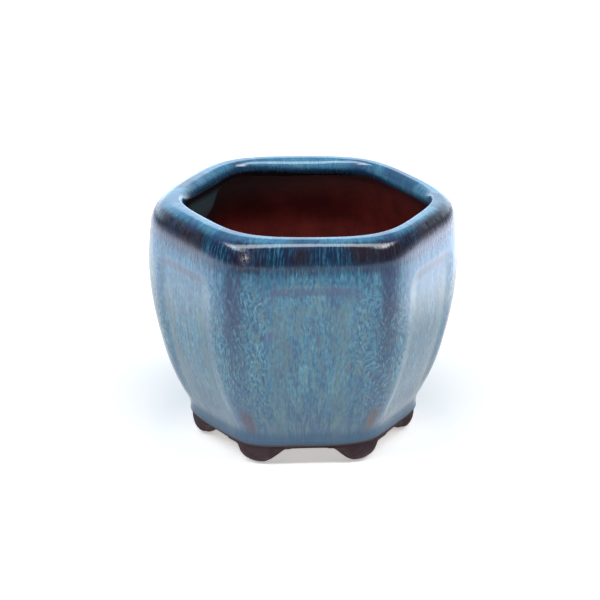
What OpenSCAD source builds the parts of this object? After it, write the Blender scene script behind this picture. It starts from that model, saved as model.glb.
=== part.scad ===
// Hexagonal glazed bonsai pot on six feet.
// Slab built: a base slab, six wall slabs luted along the ridges, a rolled rim
// and six feet, with one coat of glaze over the wall and the rim.
// Millimetres. The origin is on the ground, under the middle of the pot.
// +Z is up, two ridges lie on the X axis, and the front slab faces -Y.

/* [Overall] */
// Width over the flats at the belly, glaze included
belly_flats = 93.7; // [84:0.1:110]
// Height from the ground to the crown of the rim
pot_h = 80.4; // [76:0.1:90]

/* [Wall] */
// Height of the widest line of the belly
belly_z = 59.5; // [56:0.1:64]
// Vertical half axis of the ellipse that the wall follows
belly_drop = 70; // [66:0.5:80]
// Thickness of the clay wall
wall_t = 6; // [4:0.1:8]
// Sharpness of the six ridges at half height, higher being sharper
ridge_p = 8.9; // [7:0.1:14]
// Sharpness of the ridges at the base
base_p = 12; // [7:0.1:14]
// Sharpness of the corners inside the pot
inner_p = 11; // [7:0.1:14]

/* [Sunk panels] */
// Width of the sunk panel on each wall slab
panel_w = 28; // [20:0.5:30]
// Height of the panel's top edge above the ground
panel_top = 64.3; // [58:0.1:66]
// Depth of the panel
panel_depth = 0.8; // [0.3:0.1:1.5]
// Width of the soft slope round the panel
panel_slope = 6; // [2:0.5:6]
// Height over which the panel fades out at its foot
panel_fade = 12; // [6:1:20]

/* [Rim] */
// Width of the rolled rim's outer rounding, glaze included
rim_out_w = 4.8; // [3:0.1:6]
// Width of the flat land on top of the rim
rim_land = 1.3; // [0.5:0.1:3]
// Width of the rounding on the lip side, glaze included
rim_in_w = 3.8; // [2:0.1:5]
// Height of the rim on its outer side
rim_h = 8.7; // [7.5:0.1:10]
// Height of the rounding on the lip side
lip_h = 5.6; // [4:0.1:7.4]
// Sharpness of the rim's outer corners
rim_p = 10; // [6:0.1:12]
// Sharpness of the corners where the land rolls over into the lip
lip_p = 6.4; // [4:0.1:12]
// Height over which the wall thickens towards the lip
lip_blend = 16; // [10:1:25]
// How far the mouth sits off the middle, towards +X
mouth_shift = 1.4; // [0:0.1:2]
// How far the rim falls at its +X side and rises at its -X side
rim_fall = 0.6; // [0:0.1:1]

/* [Base] */
// Width over the flats at the base slab, glaze included
base_flats = 68.2; // [60:0.1:72]
// Thickness of the base slab
base_t = 5; // [3:0.5:7]
// Diameter of the drain hole
drain_d = 14; // [8:1:24]

/* [Feet] */
// Height of the feet under the base slab
foot_h = 6; // [4:0.5:9]
// Distance from the pot's axis to the middle of a foot
foot_r = 30; // [26:0.5:31]
// Size of a foot across its ridge where it meets the base slab
foot_w = 23; // [16:1:24]
// Size of a foot along its ridge, before the base outline trims it
foot_l = 18; // [14:1:20]
// Size of the flat pad under a foot, as a share of the foot's own size
foot_pad = 0.35; // [0.2:0.05:0.6]
// How far the outer side of a foot rounds in towards its pad
foot_round = 4.5; // [2:0.5:5]

/* [Glaze] */
// Thickness of the glaze coat
glaze_t = 0.7; // [0.4:0.1:1.2]
// Height of the glaze line above the ground
glaze_line = 6.9; // [6.5:0.1:10]

/* [Hidden] */

SIDES = 6;
STEP = 360 / SIDES; // angle from one ridge to the next
CLAY = [0.36, 0.20, 0.15];
FOOT_CLAY = [0.29, 0.21, 0.22];
GLAZE = [0.37, 0.56, 0.65];

base_z = foot_h + base_t; // top of the base slab, where the walls stand
rim_z = pot_h - rim_h; // joint between the walls and the rim
rim_w = rim_out_w + rim_land + rim_in_w;
rim_steps = 4; // segments in each rounding of the rim's section
foot_steps = 4; // slices between a foot's pad and its top
mid_z = 0.45 * pot_h; // where the ridges are softest
rim_soft_z = 0.85 * pot_h; // from here up they are as sharp as the rim
skin = 0.01; // thickness of a slice inside a hull

// Angles from a slab's middle to its ridge: across the panel, over its slope, and on to the ridge.
function columns(z) = let (
        a = outer_a(min(max(z, base_z), rim_z)),
        inside = atan((panel_w - panel_slope) / 2 / a),
        outside = atan((panel_w + panel_slope) / 2 / a)
    ) [0, inside / 2, inside, outside, outside + (STEP / 2 - outside) * 0.4,
        outside + (STEP / 2 - outside) * 0.75, STEP / 2];
LAST = 6; // index of the ridge in columns()
PANEL = 2; // index of the panel's edge in columns()

// Radius at angle t of a soft hexagon with apothem a and sharpness p.
function hex_r(t, a, p) = let (
        pull = [for (k = [0:SIDES - 1]) pow(max(cos(t - STEP * (k + 0.5)), 0.001), p)]
    ) a / pow(pull * [1, 1, 1, 1, 1, 1], 1 / p);

// Apothems at height z: the glazed outside, the clay outside and the clay inside.
function outer_a(z) = belly_flats / 2 * sqrt(1 - pow((z - belly_z) / belly_drop, 2));
function wall_a(z) = z < base_z ? base_flats / 2 - glaze_t
    : max(outer_a(z), base_flats / 2) - glaze_t;
function ease(x) = let (s = min(max(x, 0), 1)) s * s * (3 - 2 * s);
lip_a = outer_a(rim_z) - rim_w;
function lip_share(z) = ease((z - rim_z + lip_blend) / lip_blend);
function inner_a(z) = let (s = lip_share(z))
    (wall_a(z) - wall_t) * (1 - s) + (lip_a + glaze_t) * s;

// Sharpness of the ridges at height z.
function sharp(z) = z < mid_z
    ? base_p + (ridge_p - base_p) * ease((z - base_z) / (mid_z - base_z))
    : ridge_p + (rim_p - ridge_p) * ease((z - mid_z) / (rim_soft_z - mid_z));

// How far the panel is sunk at height z.
function sink(z) = z > panel_top - panel_slope / 2 + skin ? 0
    : panel_depth * ease((z - base_z) / panel_fade);

// Heights of the wall's rows: even up to the panel's top edge, then over its slope to the rim.
wall_rows = concat(
    [for (i = [0:8]) base_z + (panel_top - panel_slope / 2 - base_z) * i / 8],
    [panel_top + panel_slope / 2, (panel_top + panel_slope / 2 + rim_z) / 2, rim_z]);

// Points along slab k at height z, sunk by dent inside the panel and shifted along +X.
function face_arc(k, a, p, z, dent = 0, shift = 0, last = LAST) = [for (j = [-LAST:last]) let (
        t = STEP * (k + 0.5) + sign(j) * columns(z)[abs(j)],
        r = hex_r(t, a, p) - (abs(j) <= PANEL ? dent : 0),
        x = r * cos(t) + shift,
        fall = rim_fall * max(z - rim_z, 0) / rim_h * x / belly_flats * 2
    ) [x, r * sin(t), z - fall]];
function ring(a, p, z, dent = 0, shift = 0) =
    [for (k = [0:SIDES - 1], q = face_arc(k, a, p, z, dent, shift, LAST - 1)) q];
function flip(v) = [for (i = [len(v) - 1:-1:0]) v[i]];
function join(v) = [for (row = v, q = row) q];

// Triangles between the closed loops of a loft. With closed, the last loop meets the first.
function skin_faces(loops, size, closed) = [
    for (i = [0:loops - (closed ? 1 : 2)], j = [0:size - 1]) let (
        a = i * size, b = (i + 1) % loops * size, n = (j + 1) % size
    ) each [[a + j, b + j, b + n], [a + j, b + n, a + n]]];

// Rings over the rim, from the outer side to the lip, at depth off under the glaze's surface.
function rim_ring(a, z) = let (
        s = (outer_a(rim_z) - a) / rim_w,
        p = lookup(s, [[0, rim_p], [1 - rim_in_w / rim_w, lip_p], [1, inner_p]])
    ) ring(a, p, z, 0, mouth_shift * s);
function rim_rings(off) = concat(
    [for (i = [0:rim_steps]) let (t = 90 * i / rim_steps)
        rim_ring(outer_a(rim_z) - rim_out_w + (rim_out_w - off) * cos(t),
            rim_z + (rim_h - off) * sin(t))],
    [for (i = [0:rim_steps]) let (t = 90 * i / rim_steps)
        rim_ring(lip_a + rim_in_w - (rim_in_w - off) * sin(t),
            pot_h - lip_h + (lip_h - off) * cos(t))]);
// Ring on the clay inside the wall.
function inner_ring(z) = ring(inner_a(z), inner_p, z, 0, mouth_shift * lip_share(z));

module base_slab() color(CLAY)
    translate([0, 0, foot_h])
        difference() {
            linear_extrude(base_t) base_outline();
            translate([0, 0, -1]) cylinder(d = drain_d, h = base_t + 2, $fn = 64);
        }

module base_outline()
    polygon([for (q = ring(wall_a(base_z), base_p, base_z)) [q.x, q.y]]);

// One wall slab, mitred at the ridges, sunk panel outside.
module wall_slab(k) {
    loops = [for (z = wall_rows) concat(
        face_arc(k, wall_a(z), sharp(z), z, sink(z)),
        flip(face_arc(k, inner_a(z), inner_p, z, 0, mouth_shift * lip_share(z))))];
    size = 4 * LAST + 2;
    top = (len(loops) - 1) * size;
    caps = [for (j = [0:2 * LAST - 1]) let (a = j, b = j + 1, c = size - 2 - j, d = size - 1 - j)
        each [[a, b, c, d], [top + d, top + c, top + b, top + a]]];
    color(CLAY)
        polyhedron(join(loops), concat(skin_faces(len(loops), size, false), caps), convexity = 4);
}

// The rolled rim, flat where it joins the walls.
module rim() {
    rings = concat(rim_rings(glaze_t), [inner_ring(rim_z)]);
    color(CLAY)
        polyhedron(join(rings), skin_faces(len(rings), len(rings[0]), true), convexity = 4);
}

// A slice of a foot, from f = 0 at its pad to f = 1 at the base slab.
module foot_outline(f)
    intersection() {
        offset(delta = -foot_round * (1 - sqrt(1 - pow(1 - f, 2)))) base_outline();
        translate([foot_r, 0])
            scale([foot_l, foot_w] * (foot_pad + (1 - foot_pad) * f)) circle(d = 1, $fn = 32);
    }

// One foot: a lobe under the corner of the base slab, rounded under to a flat pad.
module foot(k) color(FOOT_CLAY)
    rotate(STEP * k)
        hull()
            for (i = [0:foot_steps])
                translate([0, 0, (foot_h - skin) * i / foot_steps])
                    linear_extrude(skin) foot_outline(i / foot_steps);

// The glaze: out from its line on the base slab, up the wall, over the rim and down the lip.
module glaze() {
    outer = concat(
        [for (z = [glaze_line + glaze_t, base_z]) ring(wall_a(base_z) + glaze_t, base_p, z)],
        [for (z = wall_rows) if (z > base_z && z < rim_z)
            ring(wall_a(z) + glaze_t, sharp(z), z, sink(z))],
        rim_rings(0));
    back = concat(
        [for (z = [glaze_line, base_z]) ring(wall_a(base_z), base_p, z)],
        [for (z = wall_rows) if (z > base_z && z < rim_z) ring(wall_a(z), sharp(z), z, sink(z))],
        rim_rings(glaze_t));
    rings = concat(outer, flip(back));
    color(GLAZE)
        polyhedron(join(rings), skin_faces(len(rings), len(rings[0]), true), convexity = 6);
}

base_slab();
wall_slab(0);  // wall_1
wall_slab(1);  // wall_2
wall_slab(2);  // wall_3
wall_slab(3);  // wall_4
wall_slab(4);  // wall_5
wall_slab(5);  // wall_6
rim();
foot(0);  // foot_1
foot(1);  // foot_2
foot(2);  // foot_3
foot(3);  // foot_4
foot(4);  // foot_5
foot(5);  // foot_6
glaze();
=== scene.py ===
"""Looks for a small glazed hexagonal bonsai pot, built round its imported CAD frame.

Lengths in the shape functions are millimetres, as in the CAD source; meshes are made in metres.
Angles run round +Z from +X. Two ridges lie on the X axis and the front slab faces -Y.
"""
import math

import bpy
import numpy as np
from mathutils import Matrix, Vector


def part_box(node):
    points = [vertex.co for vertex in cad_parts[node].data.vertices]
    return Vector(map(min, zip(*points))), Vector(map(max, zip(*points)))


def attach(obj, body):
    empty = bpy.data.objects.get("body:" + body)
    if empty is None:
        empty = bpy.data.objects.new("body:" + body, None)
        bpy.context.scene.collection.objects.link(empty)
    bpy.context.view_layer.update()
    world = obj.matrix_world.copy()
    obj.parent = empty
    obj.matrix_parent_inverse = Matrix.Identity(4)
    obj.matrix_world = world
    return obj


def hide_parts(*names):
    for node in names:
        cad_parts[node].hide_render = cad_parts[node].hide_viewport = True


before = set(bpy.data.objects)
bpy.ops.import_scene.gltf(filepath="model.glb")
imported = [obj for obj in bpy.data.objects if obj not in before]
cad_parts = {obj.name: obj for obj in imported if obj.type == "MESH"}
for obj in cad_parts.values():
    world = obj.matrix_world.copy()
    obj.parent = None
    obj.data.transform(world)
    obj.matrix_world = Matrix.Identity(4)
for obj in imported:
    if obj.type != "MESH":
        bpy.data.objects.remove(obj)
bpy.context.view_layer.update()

MM = 0.001
SIDES = 6
STEP = 2 * math.pi / SIDES

# ---------------------------------------------------------------- sizes, from the frame


def level(node, end):
    """Height of a CAD node's lowest (0) or highest (1) point, in mm."""
    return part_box(node)[end].z / MM


def half_depth(node):
    """Half of a CAD node's size along Y, in mm."""
    low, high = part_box(node)
    return (high.y - low.y) / 2 / MM


GLAZE_T = 0.7
FOOT_TOP = level("base_slab", 0)
BASE_TOP = level("base_slab", 1)
RIM_Z = level("wall_2", 1)
GLAZE_LINE = level("glaze", 0)
BASE_A = half_depth("base_slab") + GLAZE_T

# The CAD source's other driving sizes.
BELLY_A, BELLY_Z, BELLY_DROP = 46.85, 59.5, 70.0
WALL_T = 6.0
RIM_OUT_W, RIM_LAND, RIM_IN_W = 4.8, 1.3, 3.8
RIM_H, LIP_H, LIP_BLEND = 8.7, 5.6, 16.0
CROWN = RIM_Z + RIM_H
MOUTH_SHIFT, RIM_FALL = 1.4, 0.6
BASE_P, RIDGE_P, RIM_P, LIP_P, INNER_P = 12.0, 8.9, 10.0, 6.4, 11.0
PANEL_W, PANEL_TOP, PANEL_DEPTH, PANEL_SLOPE, PANEL_FADE = 28.0, 64.3, 0.8, 6.0, 12.0
DRAIN_R = 7.0
FOOT_W, FOOT_L, FOOT_R = 23.0, 18.0, 30.0
# Softenings that the CAD leaves out.
PANEL_CORNER = 5.0  # radius of the panel's top corners
NECK = 0.45  # how softly the wall leaves the base slab
EDGE_SOFT = 0.8  # rounding of the base slab's lower edges
FOOT_TIP_R = 31.5  # distance from the axis to a foot's lowest point

# ---------------------------------------------------------------- shape functions


def ease(x):
    """0 below 0, 1 above 1, and a smooth step between."""
    s = np.clip(x, 0, 1)
    return s * s * (3 - 2 * s)


def hex_r(t, a, p):
    """Radius at angle t of a soft hexagon with apothem a and sharpness p."""
    pull = sum(np.maximum(np.cos(t - STEP * (k + 0.5)), 1e-3) ** p for k in range(SIDES))
    return a / pull ** (1 / p)


def outer_a(z):
    """Apothem of the glazed outside at height z."""
    curve = BELLY_A * np.sqrt(np.maximum(1 - ((z - BELLY_Z) / BELLY_DROP) ** 2, 0))
    mean, half = (curve + BASE_A) / 2, (curve - BASE_A) / 2
    return mean + np.sqrt(half**2 + NECK**2) - NECK * 0.5


RIM_A = float(outer_a(RIM_Z))
LIP_A = RIM_A - RIM_OUT_W - RIM_LAND - RIM_IN_W


def lip_share(z):
    """0 deep inside the pot, 1 at the lip."""
    return ease((z - RIM_Z + LIP_BLEND) / LIP_BLEND)


def inner_a(z):
    """Apothem of the bare clay inside at height z."""
    s = lip_share(z)
    return (outer_a(z) - GLAZE_T - WALL_T) * (1 - s) + (LIP_A + GLAZE_T) * s


def sharp(z):
    """Sharpness of the ridges at height z."""
    low = ease((z - BASE_TOP) / (0.45 * CROWN - BASE_TOP))
    high = ease((z / CROWN - 0.45) / 0.4)
    return BASE_P + (RIDGE_P - BASE_P) * low + (RIM_P - RIDGE_P) * high


def off_face(t):
    """Angle from the middle of the nearest slab, from -30 to 30 degrees."""
    return (t % STEP) - STEP / 2


def panel_distance(u, z):
    """Distance outside (+) or inside (-) the edge of the sunk panel, in mm."""
    x = np.abs(u) - PANEL_W / 2 + PANEL_CORNER
    y = z - PANEL_TOP + PANEL_CORNER
    out = np.hypot(np.maximum(x, 0), np.maximum(y, 0))
    return out + np.minimum(np.maximum(x, y), 0) - PANEL_CORNER


def sink(u, z):
    """How far the panel is sunk at u across the slab and height z."""
    inside = 1 - ease(panel_distance(u, z) / PANEL_SLOPE + 0.5)
    return PANEL_DEPTH * inside * ease((z - BASE_TOP) / PANEL_FADE)


def points(t, a, p, z, shift=0.0, sunk=False):
    """Points at angles t of a soft hexagon, each value a number or one for each angle."""
    r = hex_r(t, a, p)
    if sunk:
        r = r - sink(r * np.sin(off_face(t)), z)
    x = r * np.cos(t) + shift
    rise = np.maximum(z - RIM_Z, 0) / RIM_H
    return np.stack([x, r * np.sin(t), z - RIM_FALL * rise * x / BELLY_A], -1)


def wall_points(t, z, off=0.0):
    """Points outside the wall, at depth off under the glaze's surface."""
    return points(t, outer_a(z) - off, sharp(z), z, sunk=True)


def rim_points(t, a, z):
    """Points on the rim, whose corners change from the wall's sharpness to the inside's."""
    width = RIM_OUT_W + RIM_LAND + RIM_IN_W
    s = (RIM_A - a) / width
    p = np.interp(s, [0, 1 - RIM_IN_W / width, 1], [RIM_P, LIP_P, INNER_P])
    return points(t, a, p, z, MOUTH_SHIFT * s)


def shoulder_points(t, turn, off=0.0):
    """Points on the rim's outer rounding, turn going from 0 at its foot to 90 degrees."""
    a = RIM_A - RIM_OUT_W + (RIM_OUT_W - off) * math.cos(turn)
    return rim_points(t, a, RIM_Z + (RIM_H - off) * math.sin(turn))


def lip_points(t, drop, off=0.0):
    """Points on the lip's rounding, at a drop below the crown that may differ with the angle."""
    c = np.clip(1 - drop / LIP_H, 0, 1)
    a = LIP_A + RIM_IN_W - (RIM_IN_W - off) * np.sqrt(1 - c**2)
    return rim_points(t, a, CROWN - LIP_H + (LIP_H - off) * c)


def inner_points(t, z, off=0.0):
    """Points inside the pot, at distance off towards the axis from the clay."""
    return points(t, inner_a(z) - off, INNER_P, z, MOUTH_SHIFT * lip_share(z))


# ---------------------------------------------------------------- mesh making


def new_object(name, verts, faces, material):
    """A smooth-shaded mesh object, verts in mm, that rides on the pot's one body."""
    mesh = bpy.data.meshes.new(name)
    mesh.from_pydata((np.asarray(verts) * MM).tolist(), [], faces)
    mesh.validate()
    mesh.shade_smooth()
    mesh.set_sharp_from_angle(angle=math.radians(50))
    mesh.materials.append(material)
    made = bpy.data.objects.new(name, mesh)
    bpy.context.scene.collection.objects.link(made)
    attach(made, "root")
    return made


def grid_faces(rows, cols, wrap_cols, wrap_rows=False):
    """Quads of a grid of rows x cols points."""
    i, j = np.meshgrid(
        np.arange(rows if wrap_rows else rows - 1),
        np.arange(cols if wrap_cols else cols - 1),
        indexing="ij",
    )
    below, beside = (i + 1) % rows, (j + 1) % cols
    quads = np.stack([i * cols + j, i * cols + beside, below * cols + beside, below * cols + j], -1)
    return quads.reshape(-1, 4).tolist()


def grid_normals(pts):
    """Unit normals of a grid of points that is closed along its rows, pointing outwards."""
    along = np.roll(pts, -1, 1) - np.roll(pts, 1, 1)
    normals = np.cross(along, np.gradient(pts, axis=0))
    return normals / np.linalg.norm(normals, axis=-1, keepdims=True)


def give(obj, name, values):
    """Stores a vector per vertex under name."""
    layer = obj.data.attributes.new(name, "FLOAT_VECTOR", "POINT")
    layer.data.foreach_set("vector", np.asarray(values, np.float32).ravel())


def angle_from(t, degrees):
    """Angle from t to a direction, the short way round, in degrees."""
    return np.abs((np.degrees(t) - degrees + 180) % 360 - 180)


# ---------------------------------------------------------------- the glaze coat

COLS = SIDES * 62
ANGLES = np.arange(COLS) * 2 * math.pi / COLS
BACK_STEP = 4  # the hidden back of the coat has only every fourth row
BEAD = 0.10  # swelling just above the coat's lower edge
LIP_END = 4.9  # drop below the crown at which the coat ends
RUN_ANGLE, RUN_HALF, RUN_LENGTH = 159, 17, 9.5  # the run inside: degrees, degrees and mm


def waver(t, seed, size):
    """A smooth closed wobble round the pot, of about the given size."""
    rng = np.random.default_rng(seed)
    total = np.zeros_like(t)
    for turns in range(2, 15):
        total += rng.normal() / turns**0.6 * np.cos(turns * t + rng.uniform(0, 2 * math.pi))
    return total * size / 1.6


def glaze_coat(material):
    """The coat: up from its line on the base, over the rim, down the lip, and back along the clay."""
    t = ANGLES
    corner = 1 - ease((STEP / 2 - np.abs(off_face(t))) / math.radians(14))
    line = GLAZE_LINE + 0.05 + 0.15 * corner + waver(t, 3, 0.22)
    levels = np.concatenate([
        np.arange(GLAZE_LINE, BASE_TOP + 7, 0.5),
        np.arange(BASE_TOP + 7, RIM_Z - 0.4, 0.66),
    ])
    near = ease(1 - (levels - GLAZE_LINE) / 6)
    outer = [wall_points(t, z + (line - GLAZE_LINE) * share) for z, share in zip(levels, near)]
    walls = len(outer)
    outer += [shoulder_points(t, math.pi / 2 * i / 24) for i in range(25)]
    outer += [rim_points(t, LIP_A + RIM_IN_W + RIM_LAND * (1 - i / 3), CROWN) for i in (1, 2)]
    # inside, the coat ends just under the lip, and one broad run goes on down the wall
    run = RUN_LENGTH * np.exp(-((angle_from(t, RUN_ANGLE) / RUN_HALF) ** 4))
    end = LIP_END + waver(t, 7, 0.3) + run
    for i in range(31):
        drop = end * (1 - math.cos(math.pi / 2 * i / 30))
        on_lip, below = lip_points(t, drop), inner_points(t, CROWN - drop, GLAZE_T)
        outer.append(np.where((drop < LIP_H)[:, None], on_lip, below))
    surface = np.stack(outer)
    normals = grid_normals(surface)
    clay = surface - normals * GLAZE_T
    # both edges thin out, and the lower one swells into a small bead first
    up = np.linalg.norm(surface - surface[0], axis=-1)
    down = np.linalg.norm(surface - surface[-1], axis=-1)
    swell = BEAD * np.exp(-(((up - 1.1) / 0.7) ** 2)) * (1 + waver(t, 4, 0.5))
    thin = 0.5 * (1 - ease(up / 0.7)) + 0.45 * (1 - ease(down / 2.2))
    surface = surface + normals * (swell - thin)[..., None]
    back = clay[::BACK_STEP][::-1]
    grid = np.concatenate([surface, back])
    coat = new_object(
        "glaze_coat", grid.reshape(-1, 3), grid_faces(len(grid), COLS, True, True), material
    )
    # what the material reads: a place on the coat, and distances from the ridge, panel and rim
    along = np.cumsum(np.linalg.norm(np.diff(surface, axis=0, prepend=surface[:1]), axis=-1), axis=0)
    along = np.concatenate([along, along[::BACK_STEP][::-1]])
    flow = [BELLY_A * np.cos(t) + 0 * along, BELLY_A * np.sin(t) + 0 * along, along]
    r = np.hypot(grid[..., 0], grid[..., 1])
    ridge = r * np.sin(STEP / 2 - np.abs(off_face(t)))
    panel = panel_distance(r * np.sin(off_face(t)), grid[..., 2])
    rim = along - along[walls]
    give(coat, "flow", np.stack(flow, -1))
    give(coat, "zone", np.stack([ridge, panel, rim], -1))
    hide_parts("glaze")


# ---------------------------------------------------------------- the clay pieces


def wall_slab(k, material):
    """One wall slab under the glaze, its inner face fine because it shows."""
    t = np.linspace(STEP * k, STEP * (k + 1), 41)
    loops = [
        np.concatenate([wall_points(t, z, GLAZE_T), inner_points(t[::-1], z)])
        for z in np.linspace(BASE_TOP, RIM_Z, 61)
    ]
    size = len(loops[0])
    faces = grid_faces(len(loops), size, True)
    top = (len(loops) - 1) * size
    for j in range(len(t) - 1):
        a, b, c, d = j, j + 1, size - 2 - j, size - 1 - j
        faces += [[a, d, c, b], [top + a, top + b, top + c, top + d]]
    slab = new_object(f"clay_wall_{k + 1}", np.concatenate(loops), faces, material)
    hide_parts(f"wall_{k + 1}")


def clay_rim(material):
    """The rolled rim of clay, bare only under the lip."""
    t = ANGLES[::2]
    rows = [shoulder_points(t, math.pi / 2 * i / 10, GLAZE_T) for i in range(11)]
    rows += [lip_points(t, LIP_H * (1 - math.cos(math.pi / 2 * i / 12)), GLAZE_T) for i in range(13)]
    rows += [inner_points(t, z) for z in np.linspace(CROWN - LIP_H, RIM_Z, 5)[1:]]
    ring = new_object(
        "clay_rim", np.concatenate(rows), grid_faces(len(rows), len(t), True, True), material
    )
    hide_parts("rim")


def base_slab(material):
    """The floor slab, with a softened drain hole and softened lower edges between the feet."""
    outline = hex_r(ANGLES, BASE_A - GLAZE_T, BASE_P)
    foot_here = np.exp(-(((STEP / 2 - np.abs(off_face(ANGLES))) / math.radians(19)) ** 4))
    soft = EDGE_SOFT * (1 - foot_here)
    hole = DRAIN_R + 0 * ANGLES
    turns = np.linspace(0, math.pi / 2, 5)
    rings = []
    for t in turns:  # out of the hole, over its lower edge
        rings.append((hole + EDGE_SOFT * (1 - math.cos(t)), FOOT_TOP + EDGE_SOFT * (1 - math.sin(t))))
    for f in np.linspace(0, 1, 16)[1:-1]:  # across the underside
        rings.append(((hole + EDGE_SOFT) * (1 - f) + (outline - soft) * f, FOOT_TOP))
    for t in turns:
        rings.append((outline - soft * (1 - math.sin(t)), FOOT_TOP + soft * (1 - math.cos(t))))
    for z in np.linspace(FOOT_TOP + EDGE_SOFT + 0.3, BASE_TOP, 6):
        rings.append((outline, z))
    for f in np.linspace(1, 0, 16)[1:-1]:  # back over the floor of the pot
        rings.append(((hole + EDGE_SOFT) * (1 - f) + outline * f, BASE_TOP))
    for t in turns[::-1]:
        rings.append((hole + EDGE_SOFT * (1 - math.cos(t)), BASE_TOP - EDGE_SOFT * (1 - math.sin(t))))
    c, s = np.cos(ANGLES), np.sin(ANGLES)
    pts = [np.stack([r * c, r * s, z + 0 * ANGLES], -1) for r, z in rings]
    slab = new_object(
        "clay_base", np.concatenate(pts), grid_faces(len(rings), COLS, True, True), material
    )
    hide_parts("base_slab")


FOOT_COLS = 96


def foot(k, material):
    """One foot: a lobe round the corner, bell-shaped along the slabs and rounded under outwards."""
    rng = np.random.default_rng(20 + k)
    turn = np.arange(FOOT_COLS) * 2 * math.pi / FOOT_COLS
    c, s = np.cos(turn), np.sin(turn)
    tip = FOOT_TIP_R + rng.uniform(-0.3, 0.3)
    # reach from the tip to the foot's outline on the base slab, in each direction
    reach = np.linspace(0, 24, 481)
    x, y = tip + np.outer(c, reach), np.outer(s, reach)
    in_slab = np.hypot(x, y) <= hex_r(np.arctan2(y, x), BASE_A - GLAZE_T, BASE_P)
    in_lobe = ((x - FOOT_R) / FOOT_L * 2) ** 2 + (y / FOOT_W * 2) ** 2 <= 1
    outline = reach[np.argmin(in_slab & in_lobe, axis=1)]
    outside = ease((c - 0.1) / 0.5)  # 1 where the outline lies on the slab's side
    phase = rng.uniform(0, 6)
    shares = [(0.0, 0.5 * (1 + 0 * turn))]
    for f in np.linspace(0, 1, 24):
        bell = 2 / math.pi * math.acos(math.sqrt(f) * 0.985)
        quarter = math.sqrt(max(1 - f**2.2, 0)) * 0.97 + 0.03 * (1 - f)
        share = 0.07 + 0.93 * (bell * (1 - outside) + quarter * outside)
        shares.append((f, share * (1 + 0.03 * 4 * f * (1 - f) * np.cos(2 * turn + phase))))
    shares.append((1.0, 0.035 + 0 * turn))
    pts = [
        np.stack([tip + outline * share * c, outline * share * s, FOOT_TOP * (1 - f) + 0 * turn], -1)
        for f, share in shares
    ]
    pts = np.concatenate(pts)
    cos_k, sin_k = math.cos(STEP * k), math.sin(STEP * k)
    x, y, z = pts.T
    pts = np.stack([x * cos_k - y * sin_k, x * sin_k + y * cos_k, z], -1)
    faces = [quad[::-1] for quad in grid_faces(len(shares), FOOT_COLS, True)]
    last = (len(shares) - 1) * FOOT_COLS
    faces += [list(range(FOOT_COLS)), list(range(last + FOOT_COLS - 1, last - 1, -1))]
    lobe = new_object(f"clay_foot_{k + 1}", pts, faces, material)
    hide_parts(f"foot_{k + 1}")


# ---------------------------------------------------------------- material helpers

TO_MM = 1000.0


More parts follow.
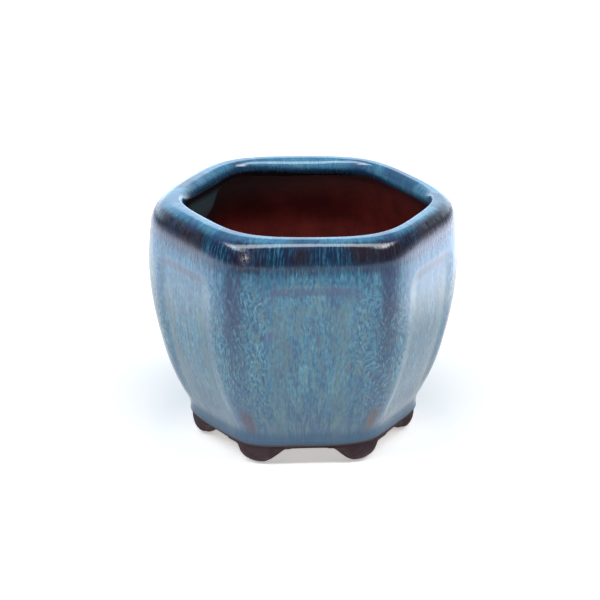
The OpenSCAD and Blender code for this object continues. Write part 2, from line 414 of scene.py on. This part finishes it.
class Nodes:
    """A short way to write the node tree of a material or a world."""

    def __init__(self, owner):
        self.owner = owner
        owner.use_nodes = True
        self.tree = owner.node_tree
        self.tree.nodes.clear()

    def node(self, kind, settings=None, **inputs):
        made = self.tree.nodes.new("ShaderNode" + kind)
        for key, value in (settings or {}).items():
            setattr(made, key, value)
        for key, value in inputs.items():
            self.put(made, key.replace("_", " "), value)
        return made

    def put(self, node, key, value):
        """Sets an input, by name or number, to a value or to another node's output."""
        if isinstance(value, bpy.types.NodeSocket):
            self.tree.links.new(value, node.inputs[key])
        else:
            node.inputs[key].default_value = value

    def maths(self, operation, a, b=0.0):
        made = self.node("Math", {"operation": operation})
        self.put(made, 0, a)
        self.put(made, 1, b)
        return made.outputs[0]

    def times(self, a, b):
        return self.maths("MULTIPLY", a, b)

    def plus(self, a, b):
        return self.maths("ADD", a, b)

    def sway(self, noise, size):
        """A noise of 0 to 1 taken to half of size either way."""
        return self.times(self.plus(noise, -0.5), size)

    def step(self, x, low, high, a=0.0, b=1.0):
        """x from low to high, smoothly taken to a to b."""
        made = self.node("MapRange", {"interpolation_type": "SMOOTHSTEP"})
        for key, value in enumerate((x, low, high, a, b)):
            self.put(made, key, value)
        return made.outputs[0]

    def band(self, x, middle, half, soft):
        """1 within half of middle, falling to 0 over soft on each side."""
        away = self.maths("ABSOLUTE", self.plus(x, -middle))
        return self.step(away, half, half + soft, 1.0, 0.0)

    def mix(self, share, a, b):
        """Colours a to b by share."""
        made = self.node("Mix", {"data_type": "RGBA"})
        self.put(made, 0, share)
        for key, value in ((6, a), (7, b)):
            if not isinstance(value, bpy.types.NodeSocket) and len(value) == 3:
                value = (*value, 1.0)
            self.put(made, key, value)
        return made.outputs[2]

    def blend(self, share, a, b):
        """Numbers a to b by share."""
        made = self.node("Mix", {"data_type": "FLOAT"})
        for key, value in ((0, share), (2, a), (3, b)):
            self.put(made, key, value)
        return made.outputs[0]

    def noise(self, vector, scale, detail=2.0, roughness=0.5, colour=False):
        made = self.node("TexNoise", Vector=vector, Scale=scale, Detail=detail, Roughness=roughness)
        return made.outputs["Color" if colour else 0]

    def drawn(self, vector, along, shift=(0, 0, 0)):
        """A vector scaled by along in its third part, so that noise on it is drawn out that way."""
        made = self.node("Mapping", Vector=vector)
        made.inputs["Scale"].default_value = (1, 1, along)
        made.inputs["Location"].default_value = shift
        return made.outputs[0]

    def drifted(self, vector, scale, reach, shift):
        """A vector pushed about by smooth noise of the given scale, by at most half the reach."""
        push = self.noise(self.drawn(vector, 0.7, shift), scale, 1.0, 0.5, colour=True)
        push = self.vector("SUBTRACT", push, 1, (0.5, 0.5, 0.5))
        return self.vector("ADD", vector, 1, self.vector("SCALE", push, 3, reach))

    def vector(self, operation, a, key, b, output=0):
        """A vector operation on a and b, b going into the input with the given key."""
        made = self.node("VectorMath", {"operation": operation})
        self.put(made, 0, a)
        self.put(made, key, b)
        return made.outputs[output]

    def attribute(self, name):
        return self.node("Attribute", {"attribute_name": name}).outputs["Vector"]

    def split(self, vector):
        return self.node("SeparateXYZ", Vector=vector).outputs

    def object_place(self):
        return self.node("TexCoord").outputs["Object"]

    def ramp(self, x, stops):
        """Colour by x through (place, colour) stops."""
        made = self.node("ValToRGB")
        elements = made.color_ramp.elements
        while len(elements) < len(stops):
            elements.new(0.5)
        for element, (place, colour) in zip(elements, stops):
            element.position = place
            element.color = (*colour, 1.0)
        self.put(made, 0, x)
        return made.outputs[0]

    def bump(self, height, distance, strength=1.0):
        return self.node("Bump", Height=height, Strength=strength, Distance=distance).outputs[0]

    def finish(self, **inputs):
        """Ends the material in one Principled shader."""
        shader = self.node("BsdfPrincipled", **inputs)
        self.node("OutputMaterial", Surface=shader.outputs[0])
        return self.owner


# ---------------------------------------------------------------- the glaze's colours

NAVY = (0.008, 0.020, 0.050)
DEEP = (0.020, 0.068, 0.135)
BLUE = (0.032, 0.118, 0.220)
TEAL = (0.046, 0.190, 0.290)
LIGHT = (0.078, 0.255, 0.350)
PALE = (0.180, 0.370, 0.430)
KHAKI = (0.118, 0.200, 0.200)
MAUVE = (0.080, 0.100, 0.220)
PURPLE = (0.024, 0.046, 0.112)
TENMOKU = (0.020, 0.010, 0.015)
RUST_LEFT = (0.065, 0.038, 0.060)
RUST_RIGHT = (0.095, 0.055, 0.048)
# black of the painted shade under the lip, on the glaze
UNDER_LIP_SHADE = (0.006, 0.0045, 0.005)
PANEL_LINE = (0.050, 0.085, 0.190)
SHOULDER_FOOT = (0.014, 0.036, 0.080)
LAND = (0.085, 0.240, 0.400)
LAND_PATCH = (0.026, 0.046, 0.110)
LIP_NAVY = (0.010, 0.040, 0.085)
INNER_RUN = (0.032, 0.060, 0.068)
FOOT_BAND = (0.022, 0.084, 0.160)
FOOT_LINE = (0.010, 0.030, 0.055)
EDGE_BROWN = (0.030, 0.018, 0.020)
# pale of the painted glints in the blister
BLISTER_GLINT = (0.26, 0.20, 0.22)
BLISTER = (-0.0210, -0.0440, 0.0755)  # a burst blister on a ridge under the rim, in metres

# Places across the rim, in mm over its surface from its outer foot.
SHOULDER_END = 7.0, 9.6
LAND_MIDDLE = 12.6
# the second pair is where the painted shade under the lip starts
LIP_NAVY_AT, UNDER_LIP_SHADE_AT, INNER_RUN_AT = (15.8, 17.4), (17.3, 18.8), (19.5, 22.0)


class Fields:
    """The places and streaks that all parts of the glaze go by, in mm."""

    def __init__(self, m):
        self.flow = m.attribute("flow")
        self.up = m.split(self.flow)[2]
        self.ridge, self.panel, self.rim = m.split(m.attribute("zone"))
        self.place = m.object_place()
        self.x = m.split(self.place)[0]
        self.height = m.times(m.split(self.place)[2], TO_MM)
        # slow drift that bends every streak a little
        self.bent = m.drifted(self.flow, 0.09, 3.0, (0, 0, 0))
        # short running strokes in the panels, longer ones over the rim
        self.fine = m.noise(m.drawn(self.bent, 0.30), 1.6, 3.0, 0.62)
        broad = m.noise(m.drawn(self.bent, 0.16, (7, 3, 1)), 0.45, 2.0, 0.5)
        self.straight = m.plus(m.times(self.fine, 0.68), m.times(broad, 0.32))
        # curling strokes beside the ridges
        self.curled = m.drifted(self.flow, 0.12, 8.0, (3, 9, 5))
        strokes = m.noise(m.drawn(self.curled, 0.36, (1, 5, 2)), 1.5, 2.0, 0.6)
        beside = m.times(m.step(self.panel, -1.5, 1.5), m.step(self.rim, -9.0, -3.0, 1.0, 0.0))
        self.run = m.blend(m.times(beside, 0.9), self.straight, strokes)
        # where the shoulder's dark and the blister are, for the relief
        self.runs = m.noise(m.drawn(self.flow, 0.08, (4, 4, 4)), 2.1, 2.0, 0.65)
        start = m.step(m.plus(self.rim, m.sway(self.runs, 9.0)), -3.2, 1.0)
        self.shoulder = m.times(start, m.step(self.rim, *SHOULDER_END, 1.0, 0.0))
        away = m.vector("DISTANCE", self.place, 1, BLISTER, "Value")
        self.off_blister = m.plus(m.times(away, TO_MM), m.sway(self.fine, 5.0))
        self.blister = m.step(self.off_blister, 0.7, 2.2, 1.0, 0.0)


def streaks(m, g):
    """The streaked blue of the walls."""
    body = m.ramp(m.step(g.run, 0.28, 0.74), [
        (0.0, DEEP), (0.30, BLUE), (0.52, TEAL), (0.74, LIGHT), (1.0, PALE),
    ])
    # darker low on the wall: painted shade
    body = m.mix(m.step(g.height, 10.0, 38.0, 0.72, 0.0), body, DEEP)
    # khaki and mauve strokes, and blue clouds
    hue = m.noise(m.drawn(g.bent, 0.16, (11, 2, 8)), 0.95, 2.0, 0.6)
    body = m.mix(m.step(hue, 0.46, 0.64, 0.0, 0.55), body, KHAKI)
    hue = m.noise(m.drawn(g.bent, 0.20, (2, 17, 4)), 0.80, 2.0, 0.6)
    body = m.mix(m.step(hue, 0.54, 0.70, 0.0, 0.50), body, MAUVE)
    cloud = m.noise(m.drawn(g.curled, 0.5, (5, 5, 9)), 0.16, 2.0, 0.55)
    cloud = m.times(m.step(cloud, 0.48, 0.66, 0.0, 0.45), m.step(g.panel, -3, 0, 0.5, 1.0))
    return m.mix(cloud, body, BLUE)


def over_panels(m, g, body):
    """A khaki strip inside the panel's edges, and a purple line where the glaze thins on its top."""
    below_top = m.step(g.height, PANEL_TOP - 8, PANEL_TOP - 3, 0.28, 0.0)
    body = m.mix(m.times(m.band(g.panel, -4.5, 1.6, 1.6), below_top), body, KHAKI)
    line = m.times(m.band(g.height, PANEL_TOP + 0.3, 0.9, 1.0), m.step(g.panel, 0.6, 2.6, 1.0, 0.0))
    line = m.times(line, m.step(g.straight, 0.40, 0.62, 0.8, 0.45))
    return m.mix(line, body, PANEL_LINE)


def over_ridges(m, g, body):
    """Purple where it breaks on the ridges, most of all near the rim, and a rusty spot low down."""
    ragged = m.noise(m.drawn(g.flow, 0.3), 0.45, 3.0, 0.6)
    ragged = m.plus(g.ridge, m.sway(ragged, 3.2))
    patchy = m.noise(m.drawn(g.flow, 0.6, (6, 1, 3)), 0.055, 1.0, 0.5)
    strength = m.times(m.step(g.height, 26.0, 60.0, 0.42, 1.0), m.step(patchy, 0.35, 0.6, 0.72, 1.0))
    crest = m.times(m.step(ragged, 1.2, 5.0, 1.0, 0.0), strength)
    body = m.mix(m.times(crest, m.step(g.run, 0.42, 0.68, 1.0, 0.5)), body, PURPLE)
    spot = m.step(m.plus(g.ridge, m.times(patchy, 3.0)), 2.0, 4.6, 1.0, 0.0)
    spot = m.times(m.band(g.height, 16.0, 1.5, 5.5), spot)
    rust = m.mix(m.step(g.x, -0.01, 0.01), RUST_LEFT, RUST_RIGHT)
    return m.mix(m.times(spot, m.step(g.fine, 0.35, 0.6, 0.95, 0.6)), body, rust)


def over_shoulder(m, g, body):
    """The rim's outer shoulder, dark with fine light runs, browner to the right and far left."""
    drift = m.noise(m.drawn(g.flow, 0.3), 0.055, 1.0, 0.5)
    drift = m.plus(drift, m.step(g.x, -0.006, 0.012, 0.02, -0.12))
    drift = m.plus(drift, m.step(g.x, -0.036, -0.024, -0.10, 0.0))
    light_runs = m.times(m.step(g.runs, 0.47, 0.60), m.step(drift, 0.45, 0.58, 0.14, 0.70))
    dark = m.mix(m.step(drift, 0.42, 0.56, 1.0, 0.0), NAVY, TENMOKU)
    dark = m.mix(m.step(g.rim, 0.3, 3.2, 0.75, 0.0), dark, SHOULDER_FOOT)
    dark = m.mix(light_runs, dark, m.mix(m.step(g.fine, 0.4, 0.6), DEEP, TEAL))
    return m.mix(m.times(g.shoulder, 0.97), body, dark)


def over_land_and_lip(m, g, body):
    """Lighter and patchy on the flat land, then navy, then black as painted shade under the lip, and,
    on the run inside, greenish.
    """
    body = m.mix(m.times(m.band(g.rim, LAND_MIDDLE, 2.4, 1.8), 0.38), body, LAND)
    patch = m.noise(m.drawn(g.flow, 0.5, (9, 9, 1)), 0.07, 2.0, 0.55)
    patch = m.times(m.step(patch, 0.50, 0.62, 0.0, 0.6), m.band(g.rim, 11.0, 3.0, 2.5))
    body = m.mix(patch, body, LAND_PATCH)
    lip = m.plus(g.rim, m.sway(g.fine, 3.5))
    body = m.mix(m.step(lip, *LIP_NAVY_AT), body, LIP_NAVY)
    # painted shade: black on the glaze just under the lip
    body = m.mix(m.step(lip, *UNDER_LIP_SHADE_AT), body, UNDER_LIP_SHADE)
    return m.mix(m.step(g.rim, *INNER_RUN_AT), body, INNER_RUN)


def over_foot(m, g, body):
    """Smoother and bluer above the glaze line, brown at the very edge."""
    body = m.mix(m.step(g.up, 1.8, 8.0, 0.80, 0.0), body, FOOT_BAND)
    body = m.mix(m.step(g.up, 0.7, 2.4, 0.65, 0.0), body, FOOT_LINE)
    return m.mix(m.step(g.up, 0.45, 1.05, 1.0, 0.0), body, EDGE_BROWN)


def over_blister(m, g, body):
    """The burst blister: a dark stain, with a few pale specks painted in as its glints."""
    stain = m.mix(m.step(g.run, 0.4, 0.6), TENMOKU, PURPLE)
    body = m.mix(m.step(g.off_blister, 2.0, 8.0, 0.85, 0.0), body, stain)
    # painted highlight: pale specks for the glints in the blister
    glint_specks = m.mix(m.step(g.fine, 0.47, 0.57), TENMOKU, BLISTER_GLINT)
    return m.mix(m.times(g.blister, 0.85), body, glint_specks)


def glaze_material():
    """Kiln-change glaze: fine running streaks, dark where it breaks over the rim and the ridges."""
    m = Nodes(bpy.data.materials.new("kiln_change_glaze"))
    g = Fields(m)
    body = streaks(m, g)
    for part in (over_panels, over_ridges, over_shoulder, over_land_and_lip, over_foot, over_blister):
        body = part(m, g, body)
    relief = m.plus(m.times(g.run, 0.35), m.times(m.noise(g.flow, 0.22, 2.0, 0.5), 1.5))
    relief = m.plus(relief, m.times(m.times(g.shoulder, g.runs), 1.6))
    relief = m.plus(relief, m.times(m.times(g.blister, m.noise(g.flow, 0.9, 1.0, 0.5)), 14.0))
    return m.finish(
        Base_Color=body,
        Roughness=m.blend(m.step(g.up, 0.6, 2.2), 0.65, 0.11),
        IOR=1.55,
        Normal=m.bump(relief, 0.00005),
    )


# ---------------------------------------------------------------- clay and floor

RED_CLAY = (0.090, 0.0095, 0.008), (0.126, 0.014, 0.011)
DARK_CLAY = (0.034, 0.018, 0.023), (0.058, 0.033, 0.038)
# black of the painted shade under the lip, on the clay
UNDER_LIP_SHADE_CLAY = (0.0085, 0.004, 0.004)


def clay_material(name, low, high, painted_lip_shade=False, red_above=None):
    """Bare fired clay with grit, red above a height in mm, and, if asked, blackened high up near the
    glaze by painted shade under the lip.
    """
    m = Nodes(bpy.data.materials.new(name))
    place = m.object_place()
    x, height = m.split(place)[0], m.times(m.split(place)[2], TO_MM)
    grit = m.noise(place, 2600.0, 3.0, 0.65)
    patch = m.noise(place, 130.0, 3.0, 0.55)
    patches = m.step(patch, 0.35, 0.65)
    body = m.mix(patches, low, high)
    if red_above:
        inside = m.step(height, red_above - 1.5, red_above - 0.3)
        body = m.mix(inside, body, m.mix(patches, *RED_CLAY))
    body = m.mix(m.step(grit, 0.56, 0.68, 0.0, 0.35), body, tuple(c * 0.4 for c in low))
    body = m.mix(m.step(grit, 0.30, 0.38, 0.25, 0.0), body, tuple(min(1.0, c * 1.6) for c in high))
    if painted_lip_shade:
        # painted shade: black high up under the lip's overhang, more to the left
        wavy = m.plus(height, m.sway(m.noise(place, 60.0, 1.0), 8.0))
        wavy = m.plus(wavy, m.times(x, -120.0))
        body = m.mix(m.step(wavy, 58.0, 76.0, 0.0, 0.93), body, UNDER_LIP_SHADE_CLAY)
    relief = m.plus(m.times(grit, 0.6), m.times(patch, 1.4))
    return m.finish(
        Base_Color=body,
        Roughness=m.step(grit, 0.3, 0.7, 0.6, 0.85),
        IOR=1.35,
        Specular_IOR_Level=0.25,
        Normal=m.bump(relief, 0.0001, 0.8),
    )


def floor_material():
    """Pale floor with painted glow behind, beside and under the pot, which fills in the pot's shadow
    and lights what its glaze reflects, and dark far away.
    """
    m = Nodes(bpy.data.materials.new("floor_painted_glow"))
    x, y, _ = m.split(m.object_place())
    aside = m.maths("ABSOLUTE", x)
    from_axis = m.maths("SQRT", m.plus(m.times(x, x), m.times(y, y)))
    beside = m.step(aside, 0.036, 0.075)
    near = m.step(y, -0.60, -0.18)
    near = m.times(near, m.step(aside, 0.20, 0.60, 1.0, 0.12))
    # painted glow close to the pot, filling in its shadow, and a stronger painted glow that its sides
    # reflect
    painted_glow = m.plus(m.step(y, 0.03, 0.30, 0.15, 0.75), m.times(beside, 0.54))
    painted_glow = m.plus(painted_glow, m.step(from_axis, 0.026, 0.050, 0.36, 0.0))
    at_sides = m.times(m.step(aside, 0.085, 0.18), m.step(y, -0.14, 0.06))
    painted_glow = m.blend(at_sides, painted_glow, m.step(x, -0.05, 0.05, 2.25, 3.50))
    white = m.mix(m.step(y, -0.34, -0.17), (0.50, 0.49, 0.48), (0.95, 0.93, 0.91))
    # grey beside the pot, where the painted glow makes up the white
    white = m.mix(beside, white, (0.36, 0.35, 0.34))
    return m.finish(
        Base_Color=m.mix(near, (0.08, 0.08, 0.09), white),
        Roughness=0.9,
        # the painted glow is lavender out to the sides, for the side slabs' lavender reflection
        Emission_Color=m.mix(m.step(aside, 0.10, 0.20), (1.0, 0.98, 0.96), (0.74, 0.80, 1.0)),
        Emission_Strength=m.times(near, painted_glow),
    )


# ---------------------------------------------------------------- build the pot

glaze = glaze_material()
# the walls and the rim get the painted shade under the lip
clay = clay_material("red_clay", *RED_CLAY, painted_lip_shade=True)
foot_clay = clay_material("dark_clay", *DARK_CLAY)
base_clay = clay_material("base_clay", *DARK_CLAY, red_above=BASE_TOP)

glaze_coat(glaze)
for k in range(SIDES):
    wall_slab(k, clay)
    foot(k, foot_clay)
clay_rim(clay)
base_slab(base_clay)

# ---------------------------------------------------------------- studio

LAMPS_Y = -0.26
SOFTBOXES = (  # name, x, height, size, radiance and colour
    ("softbox_top", 0.02, 0.70, (1.64, 0.28), 7.3, (0.88, 0.95, 1.0)),
    ("softbox_left", -0.66, 0.69, (0.22, 0.62), 6.0, (0.92, 0.92, 1.0)),
    ("softbox_right", 0.71, 0.69, (0.24, 0.50), 6.0, (1.0, 0.94, 0.94)),
)
ROOM_TINT, ROOM_DIM = (0.70, 0.85, 1.0, 1.0), 0.07
FLOOR_HALF = 4.0
AZIMUTH, ELEVATION, DISTANCE = math.radians(-3.32), math.radians(20.59), 1.440
SENSOR, LENS, SHIFT = 36.0, 264.9, (-0.0056, 0.0217)


def softbox(name, x, z, size, radiance, colour):
    """A rectangular softbox of the given radiance, facing straight down."""
    data = bpy.data.lights.new(name, "AREA")
    data.shape = "RECTANGLE"
    data.size, data.size_y = size
    data.energy = radiance * math.pi * size[0] * size[1]
    data.color = colour
    lamp = bpy.data.objects.new(name, data)
    lamp.location = x, LAMPS_Y, z
    lamp.rotation_euler = Vector((0, 0, -1)).to_track_quat("-Z", "Y").to_euler()
    bpy.context.scene.collection.objects.link(lamp)


def floor():
    """A wide pale floor that the pot stands on."""
    half = FLOOR_HALF
    corners = [(-half, -half, 0), (half, -half, 0), (half, half, 0), (-half, half, 0)]
    mesh = bpy.data.meshes.new("studio_floor")
    mesh.from_pydata(corners, [], [(0, 1, 2, 3)])
    mesh.materials.append(floor_material())
    made = bpy.data.objects.new("studio_floor", mesh)
    bpy.context.scene.collection.objects.link(made)


def surroundings():
    """A dim room with one bright backdrop low behind the pot, brightest at the horizon."""
    world = bpy.data.worlds.new("studio")
    m = Nodes(world)
    _, back, up = m.split(m.node("TexCoord").outputs["Generated"])
    backdrop = m.times(m.step(back, 0.50, 0.82), m.step(up, 0.45, 0.60, 1.0, 0.0))
    backdrop = m.times(backdrop, m.step(up, 0.08, 0.30, 3.4, 2.2))
    background = m.node("Background", Color=ROOM_TINT, Strength=m.plus(backdrop, ROOM_DIM))
    m.node("OutputWorld", Surface=background.outputs[0])
    bpy.context.scene.world = world


def studio():
    """The floor, the room and the lamps."""
    floor()
    surroundings()
    for box in SOFTBOXES:
        softbox(*box)


def camera():
    """A long lens, slightly left of the front and 20.6 degrees up."""
    target = Vector((0, 0, CROWN * MM / 2))
    back = Vector((
        math.sin(AZIMUTH) * math.cos(ELEVATION),
        -math.cos(AZIMUTH) * math.cos(ELEVATION),
        math.sin(ELEVATION),
    ))
    data = bpy.data.cameras.new("view")
    data.sensor_width = SENSOR
    data.lens = LENS
    data.shift_x, data.shift_y = SHIFT
    data.clip_start = 0.05
    eye = bpy.data.objects.new("view", data)
    eye.location = target + back * DISTANCE
    eye.rotation_euler = (-back).to_track_quat("-Z", "Y").to_euler()
    bpy.context.scene.collection.objects.link(eye)
    bpy.context.scene.camera = eye


studio()
camera()
bpy.context.scene.view_settings.view_transform = "Standard"
